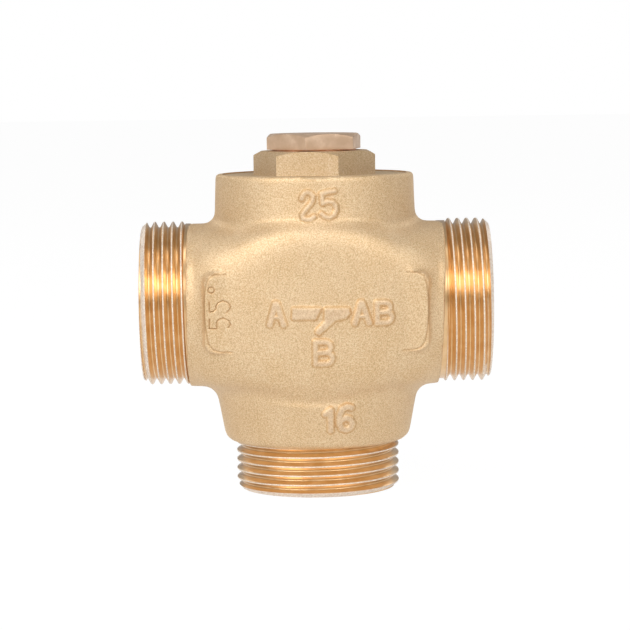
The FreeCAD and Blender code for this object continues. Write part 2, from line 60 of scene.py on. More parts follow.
towards_eye = Vector((
    math.sin(camera_turn) * math.cos(camera_rise),
    -math.cos(camera_turn) * math.cos(camera_rise),
    math.sin(camera_rise),
))
level_right = (-towards_eye).cross(Vector((0, 0, 1))).normalized()
level_up = level_right.cross(-towards_eye)
image_right = math.cos(camera_roll) * level_right + math.sin(camera_roll) * level_up
image_up = math.cos(camera_roll) * level_up - math.sin(camera_roll) * level_right
camera = bpy.data.objects.new("camera", bpy.data.cameras.new("camera"))
scene.collection.objects.link(camera)
camera.matrix_world = Matrix.Translation(camera_aim + camera_distance * towards_eye) @ Matrix((
    image_right,
    image_up,
    towards_eye,
)).transposed().to_4x4()
camera.data.lens = camera_lens
camera.data.clip_start = camera_nearest
scene.camera = camera
scene.view_settings.view_transform = "Standard"


# The room is a white sweep lit by soft boxes. The camera sees the floor and the world as
# white, the metal reflects a pale floor and a dim world, and the floor keeps the shadow.
def new_material(name):
    """Empty node material with its tree and its output's surface socket."""
    material = bpy.data.materials.new(name)
    material.use_nodes = True
    material.node_tree.nodes.clear()
    output = material.node_tree.nodes.new("ShaderNodeOutputMaterial")
    return material, material.node_tree, output.inputs["Surface"]


def linked_math(tree, operation, first, second):
    """Math node on an output and on an output or a plain number."""
    step = tree.nodes.new("ShaderNodeMath")
    step.operation = operation
    tree.links.new(first, step.inputs[0])
    if isinstance(second, float):
        step.inputs[1].default_value = second
    else:
        tree.links.new(second, step.inputs[1])
    return step.outputs[0]


def seen_plainly(tree, path):
    """Whether the camera sees a spot, straight or through glass."""
    straight = path.outputs["Is Camera Ray"]
    through_glass = path.outputs["Is Transmission Ray"]
    return linked_math(tree, "MAXIMUM", straight, through_glass)


# The floor lies a hair below port B's end face, so that the two don't share a plane.
floor_size = 12.0
floor_gap = 0.05 * MM
floor_white = 0.82
floor_glow = 1.035
floor_glow_seen = 0.94
floor_glow_in_metal = 0.75
floor_mesh = bmesh.new()
bmesh.ops.create_grid(floor_mesh, x_segments=1, y_segments=1, size=floor_size / 2)
bmesh.ops.translate(floor_mesh, verts=floor_mesh.verts, vec=(0, 0, -floor_gap))
floor = bpy.data.objects.new("floor", bpy.data.meshes.new("floor"))
floor_mesh.to_mesh(floor.data)
floor_mesh.free()
scene.collection.objects.link(floor)
floor_finish, tree, surface = new_material("floor_white")
lit = tree.nodes.new("ShaderNodeBsdfDiffuse")
lit.inputs["Color"].default_value = (floor_white, floor_white, floor_white, 1)
glow = tree.nodes.new("ShaderNodeEmission")
glow.inputs["Strength"].default_value = floor_glow
path = tree.nodes.new("ShaderNodeLightPath")
seen_share = linked_math(tree, "MULTIPLY", seen_plainly(tree, path), floor_glow_seen)
metal_share = linked_math(tree, "MULTIPLY", path.outputs["Is Glossy Ray"], floor_glow_in_metal)
blend = tree.nodes.new("ShaderNodeMixShader")
tree.links.new(linked_math(tree, "MAXIMUM", seen_share, metal_share), blend.inputs[0])
tree.links.new(lit.outputs[0], blend.inputs[1])
tree.links.new(glow.outputs[0], blend.inputs[2])
tree.links.new(blend.outputs[0], surface)
floor.data.materials.append(floor_finish)

world_light = 0.05
world_light_in_metal = 0.2
backdrop_light = 0.34
backdrop_start = -0.1
backdrop_full = 0.3
world = bpy.data.worlds.new("white_room")
world.use_nodes = True
scene.world = world
tree = world.node_tree
sky = tree.nodes["Background"]
sky.inputs["Color"].default_value = (1, 1, 1, 1)
path = tree.nodes.new("ShaderNodeLightPath")
direction = tree.nodes.new("ShaderNodeSeparateXYZ")
tree.links.new(tree.nodes.new("ShaderNodeTexCoord").outputs["Generated"], direction.inputs[0])
behind = tree.nodes.new("ShaderNodeMapRange")
behind.inputs["From Min"].default_value = backdrop_start
behind.inputs["From Max"].default_value = backdrop_full
behind.inputs["To Min"].default_value = world_light
behind.inputs["To Max"].default_value = backdrop_light
tree.links.new(direction.outputs["Y"], behind.inputs["Value"])
metal_share = linked_math(tree, "MULTIPLY", path.outputs["Is Glossy Ray"], world_light_in_metal)
room = linked_math(tree, "MAXIMUM", metal_share, behind.outputs[0])
tree.links.new(linked_math(tree, "MAXIMUM", seen_plainly(tree, path), room), sky.inputs["Strength"])

# Soft boxes stand around the valve with a darker gap just left of the front, which draws the
# dark band along each thread: azimuth (0 in front, positive to the right), elevation, level.
soft_boxes = [
    (-80, 30, 0.9),
    (-56, 30, 4.1),
    (-34, 30, 6.2),
    (-12, 30, 0.8),
    (10, 30, 2.4),
    (32, 30, 4.5),
    (56, 30, 2.0),
    (80, 30, 1.0),
    (32, 62, 1.0),
    (-40, 75, 2.7),
    (135, 30, 1.6),
    (-135, 30, 1.6),
]
box_side = 0.48
box_distance = 1.3
for azimuth, elevation, level in soft_boxes:
    turn = math.radians(azimuth)
    rise = math.radians(elevation)
    centre = Vector((0, 0, axis_height))
    outwards = Vector((
        math.sin(turn) * math.cos(rise),
        -math.cos(turn) * math.cos(rise),
        math.sin(rise),
    ))
    name = "soft_box_" + str(azimuth) + "_" + str(elevation)
    lamp = bpy.data.objects.new(name, bpy.data.lights.new(name, "AREA"))
    lamp.data.shape = "SQUARE"
    lamp.data.size = box_side
    lamp.data.energy = math.pi * box_side * box_side * level
    lamp.location = centre + box_distance * outwards
    lamp.rotation_euler = (-outwards).to_track_quat("-Z", "Y").to_euler()
    scene.collection.objects.link(lamp)


# The valve body is one sand casting in brass, blasted to a fine even grain. Its three ends
# are turned to G 1 1/4 pipe threads, and the bores and the seats inside are machined.
weld = 0.001 * MM
fine_weld = 0.0005 * MM
on_plane = 0.0001 * MM


def piece(name, mesh):
    """Object made from a bmesh, which is freed."""
    bmesh.ops.recalc_face_normals(mesh, faces=mesh.faces)
    data = bpy.data.meshes.new(name)
    mesh.to_mesh(data)
    mesh.free()
    made = bpy.data.objects.new(name, data)
    scene.collection.objects.link(made)
    return made


def merged_copy(name, node):
    """Copy of a CAD node's mesh with its loose triangles joined."""
    mesh = bmesh.new()
    mesh.from_mesh(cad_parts[node].data)
    bmesh.ops.remove_doubles(mesh, verts=mesh.verts, dist=weld)
    return piece(name, mesh)


def baked(target):
    """Apply the modifiers on an object to its mesh."""
    bpy.context.view_layer.update()
    graph = bpy.context.evaluated_depsgraph_get()
    data = bpy.data.meshes.new_from_object(target.evaluated_get(graph))
    target.modifiers.clear()
    target.data = data


def combine(base, tool, operation, keep_tool=False):
    """Add, cut or intersect a tool on an object."""
    step = base.modifiers.new("join", "BOOLEAN")
    step.operation = operation
    step.solver = "MANIFOLD"
    step.object = tool
    baked(base)
    if not keep_tool:
        bpy.data.objects.remove(tool)


def turned(profile, steps):
    """Closed mesh turned about Z from (radius, z) corners in millimetres."""
    mesh = bmesh.new()
    corners = [mesh.verts.new((r * MM, 0, z * MM)) for r, z in profile]
    lines = [mesh.edges.new(pair) for pair in zip(corners, corners[1:])]
    bmesh.ops.spin(
        mesh,
        geom=corners + lines,
        cent=(0, 0, 0),
        axis=(0, 0, 1),
        angle=math.tau,
        steps=steps,
        use_merge=True,
    )
    bmesh.ops.remove_doubles(mesh, verts=mesh.verts, dist=fine_weld)
    return mesh


def cut_flat(mesh, place, outwards):
    """Cut off all that lies outwards of a plane, and close the cut."""
    cut = bmesh.ops.bisect_plane(
        mesh,
        geom=mesh.verts[:] + mesh.edges[:] + mesh.faces[:],
        dist=on_plane,
        plane_co=place,
        plane_no=outwards,
        clear_outer=True,
    )
    rim = [item for item in cut["geom_cut"] if isinstance(item, bmesh.types.BMEdge)]
    bmesh.ops.holes_fill(mesh, edges=rim, sides=0)


def shaded(target, sharp_angle):
    """Smooth shading that stays sharp over edges of more than the given angle."""
    mesh = bmesh.new()
    mesh.from_mesh(target.data)
    limit = math.radians(sharp_angle)
    for face in mesh.faces:
        face.smooth = True
    for edge in mesh.edges:
        edge.smooth = edge.calc_face_angle(0) < limit
    mesh.to_mesh(target.data)
    mesh.free()


# A core a little larger than the passages, with (radius, z) corners in millimetres. What the
# solid body leaves of it is the hollow, and with all of it the body is closed.
core_steps = 96
chamber_core = piece("chamber_core", turned([
    (0, -1),
    (17, -1),
    (17, 16.5),
    (20.5, 18.5),
    (20.5, 46),
    (22, 48),
    (22, 70),
    (24.2, 74),
    (24.2, 82),
    (0, 82),
], core_steps))
run_mesh = turned([(0, -45), (17.5, -45), (17.5, 45), (0, 45)], core_steps)
run_turn = Matrix.Translation((0, 0, axis_height)) @ Matrix.Rotation(math.pi / 2, 4, "Y")
bmesh.ops.transform(run_mesh, matrix=run_turn, verts=run_mesh.verts)
run_core = piece("run_core", run_mesh)
combine(chamber_core, run_core, "UNION")

machined_body = merged_copy("machined_body", "valve_body")
hollow = bpy.data.objects.new("hollow", chamber_core.data.copy())
scene.collection.objects.link(hollow)
combine(hollow, machined_body, "DIFFERENCE", keep_tool=True)
combine(machined_body, chamber_core, "UNION")

# The closed body is cut back to what the foundry cast, and then gets one even skin.
casting_cut = 30.9 * MM
neck_end = 12.3 * MM
collar_top = 80.2 * MM
casting_mesh = bmesh.new()
casting_mesh.from_mesh(machined_body.data)
bpy.data.objects.remove(machined_body)
cut_flat(casting_mesh, (casting_cut, 0, 0), (1, 0, 0))
cut_flat(casting_mesh, (-casting_cut, 0, 0), (-1, 0, 0))
cut_flat(casting_mesh, (0, 0, neck_end), (0, 0, -1))
cut_flat(casting_mesh, (0, 0, collar_top), (0, 0, 1))

# The machinist left the casting's skin up to these distances from the middle, square to the
# run at port A and a little slanted at port AB.
skin_ends = {
    -1: (32.3 * MM, 0.0),
    1: (31.75 * MM, 0.041),
}
for vert in casting_mesh.verts:
    if abs(vert.co.x) > casting_cut - weld:
        side = 1 if vert.co.x > 0 else -1
        reach, slant = skin_ends[side]
        vert.co.x = side * (reach + slant * (vert.co.z - axis_height))
casting = piece("casting", casting_mesh)
skin_cell = 0.64 * MM
settle_share = 0.5
settle_passes = 2
cells = casting.modifiers.new("cells", "REMESH")
cells.mode = "VOXEL"
cells.voxel_size = skin_cell
settle = casting.modifiers.new("settle", "SMOOTH")
settle.factor = settle_share
settle.iterations = settle_passes
baked(casting)

# In front and behind, the dome's shoulder runs level under the collar instead of sagging in
# the middle, and its lower edge bulges down over the neck, with a shallow valley below it.
# All in millimetres, with each zone's levels from where it starts to where it is full.
shoulder_rise = 3.1
shoulder_from_below = (50, 65)
shoulder_from_above = (73, 66)
underside_drop = 1.2
underside_from_above = (38, 28)
underside_from_below = (21, 27)
level_reach = 20.0
valley_depth = 0.62
valley_level = 24.8
valley_sag = 1.8
valley_width = 1.8
valley_reach = 17.0


def eased(value, start, full):
    """Smooth share that grows from 0 at start to 1 at full."""
    share = max(0.0, min(1.0, (value - start) / (full - start)))
    return share * share * (3 - 2 * share)


for vert in casting.data.vertices:
    z = vert.co.z / MM
    spread = max(0.0, 1 - (vert.co.x / (level_reach * MM)) ** 2)
    rise = shoulder_rise * eased(z, *shoulder_from_below) * eased(z, *shoulder_from_above)
    drop = underside_drop * eased(z, *underside_from_above) * eased(z, *underside_from_below)
    vert.co.z += spread * (rise - drop) * MM
    across = (vert.co.x / (valley_reach * MM)) ** 2
    off_valley = (vert.co.z / MM - valley_level - valley_sag * across) / valley_width
    valley = valley_depth * max(0.0, 1 - across) * max(0.0, 1 - off_valley * off_valley) ** 2
    vert.co.y -= math.copysign(valley * MM, vert.co.y)


# Raised marks as the pattern maker cut them: centre lines in (x, z) millimetres, and two
# filled bars that show the flow. The setting 55 and the pads' outlines are fine grooves.
def bowl(left, right, low, high):
    """Centre line of a letter's bowl, open to the left."""
    reach = (high - low) / 2
    middle = (high + low) / 2
    turn = [math.radians(angle) for angle in range(90, -91, -30)]
    arc = [(right - reach + reach * math.cos(a), middle + reach * math.sin(a)) for a in turn]
    return [(left, high)] + arc + [(left, low)]


size_two = [(-3.3, 74.8), (-3.1, 75.6), (-2.6, 76.2), (-1.8, 76.4), (-1.0, 76.1), (-0.5, 75.4),
            (-0.6, 74.5), (-1.1, 73.6), (-1.9, 72.7), (-2.7, 71.7), (-3.2, 70.9), (-3.0, 70.1),
            (-2.2, 69.8), (-1.2, 69.9), (-0.3, 70.4)]
size_five = [(4.7, 76.6), (3.1, 76.4), (1.6, 76.0), (1.7, 74.8), (1.8, 73.6), (3.0, 74.1), (4.3, 73.9),
             (5.0, 73.0), (5.1, 71.8), (4.5, 70.7), (3.4, 70.1), (2.3, 70.4), (1.5, 71.1)]
letter_a = [(-11.5, 44.3), (-10.1, 49.4), (-9.7, 49.4), (-8.1, 44.3)]
letter_a_bar = [(-10.8, 46.1), (-8.8, 46.1)]
mixed_a = [(9.3, 44.5), (10.7, 49.4), (11.1, 49.4), (12.8, 44.5)]
mixed_a_bar = [(9.9, 46.1), (12.1, 46.1)]
mixed_b_stem = [(14.8, 44.4), (14.8, 49.3)]
letter_b_stem = [(-0.4, 34.6), (-0.4, 40.0)]
rating_one = [(1.8, 21.7), (3.1, 22.7), (3.1, 17.5)]
rating_six = [(8.3, 23.1), (7.2, 23.5), (6.0, 22.9), (5.3, 21.3), (5.2, 19.2), (5.8, 17.9), (6.9, 17.5),
              (8.0, 17.9), (8.5, 19.0), (8.0, 20.2), (6.9, 20.6), (5.8, 20.1), (5.2, 19.2)]
bar_in = [(-5.6, 48.1), (0.6, 48.0), (-0.5, 45.9), (-5.7, 45.9)]
bar_out = [(2.3, 48.0), (7.6, 47.9), (7.8, 47.0), (6.9, 46.0), (4.5, 45.6), (0.5, 42.1),
           (0.0, 42.4), (0.1, 42.8), (2.2, 44.9)]
degree_ring = [(-25.8, 53.5), (-25.2, 53.2), (-25.0, 52.7), (-25.2, 52.2), (-25.8, 51.9),
               (-26.4, 52.2), (-26.6, 52.7), (-26.4, 53.2), (-25.8, 53.5)]
setting_five_low = [(-26.3, 45.6), (-26.4, 43.2), (-24.5, 43.2), (-24.6, 44.7), (-24.0, 45.5),
                    (-22.9, 45.8), (-21.6, 45.2), (-21.2, 44.3), (-21.8, 43.4)]
setting_five_high = [(-26.3, 49.8), (-26.3, 47.3), (-25.4, 47.4), (-24.7, 48.0), (-24.7, 48.8),
                     (-24.1, 49.6), (-23.0, 50.1), (-21.7, 49.6), (-21.1, 48.7), (-21.4, 47.9),
                     (-22.1, 47.2)]
pad_line = [(22.2, 56.6), (24.8, 56.6), (26.4, 55.6), (27.2, 53.4), (27.6, 49.8), (27.6, 46.4),
            (27.3, 43.0), (26.7, 39.6), (25.6, 38.0), (23.8, 37.4), (21.0, 37.3)]
left_pad_line = [(-x, z) for x, z in pad_line]

# Each mark's kind, line, half width, height and half the width of its rounded shoulder.
raised = 0.62
soft = 0.5
engraved = -0.26
fine = 0.16
pad_soft = 0.34
cast_marks = [
    ("stroke", size_two, 0.62, raised, soft),
    ("stroke", size_five, 0.62, raised, soft),
    ("stroke", letter_a, 0.8, raised, soft),
    ("stroke", letter_a_bar, 0.5, raised, soft),
    ("stroke", mixed_a, 0.8, raised, soft),
    ("stroke", mixed_a_bar, 0.5, raised, soft),
    ("stroke", mixed_b_stem, 0.75, raised, soft),
    ("stroke", bowl(14.8, 18.0, 47.0, 49.3), 0.7, raised, soft),
    ("stroke", bowl(14.8, 18.4, 44.4, 47.0), 0.7, raised, soft),
    ("stroke", letter_b_stem, 0.75, raised, soft),
    ("stroke", bowl(-0.4, 3.3, 37.4, 40.0), 0.72, raised, soft),
    ("stroke", bowl(-0.4, 3.7, 34.6, 37.4), 0.72, raised, soft),
    ("stroke", rating_one, 0.8, raised, soft),
    ("stroke", rating_six, 0.8, raised, soft),
    ("filled", bar_in, 0.5, raised, soft),
    ("filled", bar_out, 0.5, raised, soft),
    ("stroke", degree_ring, 0.12, engraved, fine),
    ("stroke", setting_five_low, 0.12, engraved, fine),
    ("stroke", setting_five_high, 0.12, engraved, fine),
    ("stroke", pad_line, 0.12, engraved, pad_soft),
    ("stroke", left_pad_line, 0.12, engraved, pad_soft),
]
mark_margin = 0.7
mark_cuts = 3
front_side = -15.0 * MM


def line_distance(x, z, start, end):
    """Distance in the marks' plane from a point to one piece of a line."""
    along_x = end[0] - start[0]
    along_z = end[1] - start[1]
    square = along_x * along_x + along_z * along_z
    share = max(0.0, min(1.0, ((x - start[0]) * along_x + (z - start[1]) * along_z) / square))
    return math.hypot(x - start[0] - share * along_x, z - start[1] - share * along_z)


def beyond_mark(x, z, kind, line, half_width):
    """Distance from a point to the outline of one mark, below zero inside it."""
    if kind == "stroke":
        return min(line_distance(x, z, a, b) for a, b in zip(line, line[1:])) - half_width
    ring = line + line[:1]
    inside = False
    for (ax, az), (bx, bz) in zip(ring, ring[1:]):
        if (az > z) != (bz > z) and x < ax + (z - az) / (bz - az) * (bx - ax):
            inside = not inside
    reach = min(line_distance(x, z, a, b) for a, b in zip(ring, ring[1:]))
    return (-reach if inside else reach) - half_width


mark_boxes = []
for kind, line, half_width, height, shoulder in cast_marks:
    margin = half_width + mark_margin
    mark_boxes.append((
        min(x for x, z in line) - margin,
        max(x for x, z in line) + margin,
        min(z for x, z in line) - margin,
        max(z for x, z in line) + margin,
    ))


def marks_near(spot):
    """Height, shoulder and distance of each mark close to a point of the casting's front."""
    if spot.y > front_side:
        return []
    x = spot.x / MM
    z = spot.z / MM
    return [
        (height, shoulder, beyond_mark(x, z, kind, line, half_width))
        for (kind, line, half_width, height, shoulder), (left, right, low, high) in zip(
            cast_marks, mark_boxes
        )
        if left < x < right and low < z < high
    ]


def marked(spot):
    """Height that the marks add at a point of the casting, in millimetres."""
    lift = 0.0
    for height, shoulder, beyond in marks_near(spot):
        share = max(0.0, min(1.0, 0.5 - beyond / (2 * shoulder)))
        step = height * share * share * (3 - 2 * share)
        lift = step if abs(step) > abs(lift) else lift
    return lift


# A sand casting's skin is a little uneven: waves and finer ripples, in millimetres.
wave_size = 4.0
wave_height = 0.03
ripple_size = 1.5
ripple_height = 0.02


def unevenness(spot):
    """Height that the sand mould adds at a point of the casting, in millimetres."""
    waves = noise.noise(spot / (wave_size * MM)) * wave_height
    return waves + noise.noise(spot / (ripple_size * MM)) * ripple_height


casting_mesh = bmesh.new()
casting_mesh.from_mesh(casting.data)
near_marks = set()
for face in casting_mesh.faces:
    centre = face.calc_center_median()
    if any(beyond < mark_margin for height, shoulder, beyond in marks_near(centre)):
        near_marks.update(face.edges)
bmesh.ops.subdivide_edges(casting_mesh, edges=list(near_marks), cuts=mark_cuts, use_grid_fill=True)
casting_mesh.normal_update()
moves = [vert.normal * (unevenness(vert.co) + marked(vert.co)) * MM for vert in casting_mesh.verts]
for vert, move in zip(casting_mesh.verts, moves):
    vert.co += move
casting_mesh.to_mesh(casting.data)
casting_mesh.free()


# The casting's skin is blasted. It is darker in the grooves and round the foot of the marks, which is
# painted shade, and paler on their tops, which is a painted highlight.
def new_finish(name):
    """Material of one shader, with its tree, its place on the piece and that shader."""
    finish, tree, surface = new_material(name)
    place = tree.nodes.new("ShaderNodeTexCoord").outputs["Object"]
    shader = tree.nodes.new("ShaderNodeBsdfPrincipled")
    tree.links.new(shader.outputs[0], surface)
    return finish, tree, place, shader


def grain(tree, place, size, detail):
    """Noise with features of about the given size in millimetres."""
    speckle = tree.nodes.new("ShaderNodeTexNoise")
    speckle.inputs["Scale"].default_value = 1.0 / (size * MM)
    speckle.inputs["Detail"].default_value = detail
    tree.links.new(place, speckle.inputs["Vector"])
    return speckle.outputs["Fac"]


def tones(tree, factor, stops):
    """Colour ramp over a factor from (position, colour) stops."""
    ramp = tree.nodes.new("ShaderNodeValToRGB")
    while len(ramp.color_ramp.elements) < len(stops):
        ramp.color_ramp.elements.new(0.5)
    for element, (position, colour) in zip(ramp.color_ramp.elements, stops):
        element.position = position
        element.color = (*colour, 1)
    tree.links.new(factor, ramp.inputs["Fac"])
    return ramp.outputs["Color"]


def bumped(tree, height, depth, strength, under=None):
    """Bump of the given depth in millimetres."""
    bump = tree.nodes.new("ShaderNodeBump")
    bump.inputs["Strength"].default_value = strength
    bump.inputs["Distance"].default_value = depth * MM
    tree.links.new(height, bump.inputs["Height"])
    if under is not None:
        tree.links.new(under, bump.inputs["Normal"])
    return bump.outputs["Normal"]


def varied_roughness(tree, shader, pattern, low, high):
    """Let a pattern vary a shader's roughness between two values."""
    rough = tree.nodes.new("ShaderNodeMapRange")
    rough.inputs["To Min"].default_value = low
    rough.inputs["To Max"].default_value = high
    tree.links.new(pattern, rough.inputs["Value"])
    tree.links.new(rough.outputs[0], shader.inputs["Roughness"])


def mixed_colour(tree, factor, first, second, blend_type="MIX"):
    """Blend of two colours by a plain share or by an output."""
    mix = tree.nodes.new("ShaderNodeMix")
    mix.data_type = "RGBA"
    mix.blend_type = blend_type
    if isinstance(factor, float):
        mix.inputs[0].default_value = factor
    else:
        tree.links.new(factor, mix.inputs[0])
    tree.links.new(first, mix.inputs[6])
    tree.links.new(second, mix.inputs[7])
    return mix.outputs[2]


def cast_skin(name, level, pit_depth):
    """Blasted skin of cast brass with patches, fine flecks and pits, and its colour."""
    finish, tree, place, metal = new_finish(name)
    metal.inputs["Metallic"].default_value = 0.6
    blotches = tones(tree, grain(tree, place, 8.0, 3.0), [
        (0.35, [level * share for share in (0.83, 0.57, 0.31)]),
        (0.65, [level * share for share in (0.90, 0.66, 0.405)]),
    ])
    flecks = tones(tree, grain(tree, place, 0.28, 1.0), [
        (0.32, [level * share for share in (0.56, 0.35, 0.165)]),
        (0.5, [level * share for share in (0.86, 0.61, 0.35)]),
        (0.68, [level * share for share in (1.0, 0.85, 0.585)]),
    ])
    varied_roughness(tree, metal, grain(tree, place, 1.6, 2.0), 0.46, 0.62)
    coarse = bumped(tree, grain(tree, place, 1.1, 2.0), pit_depth, 0.4)
    pitted = bumped(tree, grain(tree, place, 0.26, 2.0), pit_depth, 0.75, coarse)
    tree.links.new(pitted, metal.inputs["Normal"])
    return finish, tree, place, metal, mixed_colour(tree, 0.55, blotches, flecks)


# The attribute "mark" is 0.5 on bare skin, 1 on a mark's top and 0 deep in a groove.
body_level = 0.935
body_pits = 0.06
painted_top_light_from = 0.85
painted_top_light_share = 0.24
sand_cast, tree, place, metal, skin = cast_skin("sand_cast_brass", body_level, body_pits)
mark = tree.nodes.new("ShaderNodeAttribute")
mark.attribute_name = "mark"
# Painted shade: the colour is darker deep in the grooves and on the lower sides of the raised marks.
painted_mark_shade = tones(tree, mark.outputs["Fac"], [
    (0.05, (0.66, 0.55, 0.44)),
    (0.45, (1.0, 1.0, 1.0)),
    (0.51, (1.0, 1.0, 1.0)),
    (0.6, (0.90, 0.81, 0.70)),
    (0.75, (0.97, 0.92, 0.85)),
    (0.88, (1.0, 1.0, 1.0)),
])
skin_with_painted_shade = mixed_colour(tree, 1.0, skin, painted_mark_shade, "MULTIPLY")
# Painted highlight: the tops of the raised marks are mixed towards a paler colour.
painted_top_light = tree.nodes.new("ShaderNodeMapRange")
painted_top_light.inputs["From Min"].default_value = painted_top_light_from
painted_top_light.inputs["From Max"].default_value = 1.0
painted_top_light.inputs["To Max"].default_value = painted_top_light_share
tree.links.new(mark.outputs["Fac"], painted_top_light.inputs["Value"])
tops = tones(tree, grain(tree, place, 0.9, 2.0), [
    (0.4, (0.66, 0.47, 0.36)),
    (0.6, (0.93, 0.74, 0.58)),
])
body_colour = mixed_colour(tree, painted_top_light.outputs[0], skin_with_painted_shade, tops)
tree.links.new(body_colour, metal.inputs["Base Color"])

turned_brass, tree, place, metal = new_finish("turned_brass")
metal.inputs["Metallic"].default_value = 1.0
metal.inputs["Coat Weight"].default_value = 0.5
metal.inputs["Coat Roughness"].default_value = 0.2
shine = tones(tree, grain(tree, place, 3.0, 3.0), [
    (0.35, (0.78, 0.50, 0.24)),
    (0.65, (0.86, 0.59, 0.32)),
])
tree.links.new(shine, metal.inputs["Base Color"])
varied_roughness(tree, metal, grain(tree, place, 0.8, 3.0), 0.26, 0.38)
tree.links.new(bumped(tree, grain(tree, place, 0.25, 2.0), 0.01, 0.4), metal.inputs["Normal"])

blasted_crest, tree, place, metal = new_finish("blasted_crest")
metal.inputs["Metallic"].default_value = 0.5
metal.inputs["Roughness"].default_value = 0.5
pale = tones(tree, grain(tree, place, 0.5, 2.0), [
    (0.35, (0.82, 0.66, 0.53)),
    (0.65, (0.98, 0.88, 0.76)),
])
tree.links.new(pale, metal.inputs["Base Color"])
tree.links.new(bumped(tree, grain(tree, place, 0.3, 2.0), 0.04, 0.6), metal.inputs["Normal"])

turned_face = 1
crest_face = 2


def in_body_finishes(target):
    """Give a part of the body its three finishes: cast, turned and blasted crest."""
    target.data.materials.clear()
    for finish in (sand_cast, turned_brass, blasted_crest):
        target.data.materials.append(finish)


# Pipe thread of 11 turns to the inch, in millimetres: 55 degree flanks with rounded crests
# and roots, and a chamfer at the end. Ports A and AB have a plain land where the tool runs
# out against the casting. A crest drops to its flanks, as a root rises, by way of two
# corners to either side: a near one, and the one where the rounding ends.
thread_pitch = 2.309
thread_radius = 20.75
thread_depth = 1.479
thread_near = 0.16
thread_near_drop = 0.043
thread_round = 0.281
thread_round_drop = 0.171
first_turn = -8
last_turn = 3
thread_steps = 128
thread_weld = 0.01 * MM
blank_radius = 21.5
blank_length = 14.0
chamfer_radius = 19.45
chamfer_length = 2.2
land_radius = 20.2
land_core_radius = 19.0
land_core_length = 13.6
land_slope = 0.2
land_front = 11.1
land_foot = 10.5
land_foot_radius = 19.3

# The blasting reaches a narrow band on the crests and the outer part of the chamfer.
crest_band = 0.06
end_skin = 0.01
blasted_length = 1.6
blasted_from_radius = 19.2
blasted_tilt = 0.3


def thread_profile(phase):
    """Corners (radius, z) of a row of thread ridges."""
    half = thread_pitch / 2
    root = thread_radius - thread_depth
    ridge = [
        (thread_radius, 0.0),
        (thread_radius - thread_near_drop, thread_near),
        (thread_radius - thread_round_drop, thread_round),
        (root + thread_round_drop, half - thread_round),
        (root + thread_near_drop, half - thread_near),
        (root, half),
        (root + thread_near_drop, half + thread_near),
        (root + thread_round_drop, half + thread_round),
        (thread_radius - thread_round_drop, thread_pitch - thread_round),
        (thread_radius - thread_near_drop, thread_pitch - thread_near),
    ]
    return [
        (r, z + (turn + phase) * thread_pitch) for turn in range(first_turn, last_turn) for r, z in ridge
    ]


def threaded_end(name, phase, length, land_start):
    """Threaded end of a port along +Z, which ends at Z = 0."""
    mesh = bmesh.new()
    corners = [mesh.verts.new((r * MM, 0, z * MM)) for r, z in thread_profile(phase)]
    lines = [mesh.edges.new(pair) for pair in zip(corners, corners[1:])]
    bmesh.ops.spin(
        mesh,
        geom=corners + lines,
        cent=(0, 0, 0),
        axis=(0, 0, 1),
        dvec=(0, 0, thread_pitch * MM / thread_steps),
        angle=math.tau,
        steps=thread_steps,
        use_merge=False,
    )
    bmesh.ops.remove_doubles(mesh, verts=mesh.verts, dist=thread_weld)
    cut_flat(mesh, (0, 0, 0), (0, 0, 1))
    cut_flat(mesh, (0, 0, -length * MM), (0, 0, -1))
    end = piece(name, mesh)
    blank = piece("thread_blank", turned([
        (0, -blank_length),
        (blank_radius, -blank_length),
        (blank_radius, -chamfer_length),
        (chamfer_radius, 0),
        (chamfer_radius, 1),
        (0, 1),
    ], thread_steps))
    combine(end, blank, "INTERSECT")
    if land_start:
        land = piece("thread_land", turned([
            (0, -land_core_length),
            (land_core_radius, -land_core_length),
            (land_core_radius, -land_start - land_slope),
            (land_radius, -land_start),
            (land_radius, -land_front),
            (land_foot_radius, -land_foot),
            (0, -land_foot),
        ], thread_steps))
        combine(end, land, "UNION")
    in_body_finishes(end)
    for face in end.data.polygons:
        radius = math.hypot(face.center.x, face.center.y) / MM
        on_crest = radius > thread_radius - crest_band
        near_end = -blasted_length * MM < face.center.z < -end_skin * MM
        on_chamfer = near_end and radius > blasted_from_radius and face.normal.z > blasted_tilt
        face.material_index = crest_face if on_crest or on_chamfer else turned_face
    return end


port_reach = 44.0 * MM


def port_turn(direction):
    """Matrix that puts a shape made along +Z, ending at Z = 0, on a port's end face."""
    if direction == "down":
        return Matrix.Rotation(math.pi, 4, "X")
    side = 1 if direction == "right" else -1
    turn = Matrix.Rotation(side * math.pi / 2, 4, "Y")
    return Matrix.Translation((side * port_reach, 0, axis_height)) @ turn


# Each port's side, where its thread starts in turns, the thread's length, and the land's
# distance from the end.
port_threads = [
    ("left", 0.595, 11.9, 12.3),
    ("right", 0.17, 11.5, 13.2),
    ("down", 0.35, 12.5, None),
]
in_body_finishes(casting)
in_body_finishes(hollow)
for direction, phase, length, land_start in port_threads:
    end = threaded_end("threaded_end_" + direction, phase, length, land_start)
    end.data.transform(port_turn(direction))
    combine(casting, end, "UNION")
combine(casting, hollow, "DIFFERENCE")

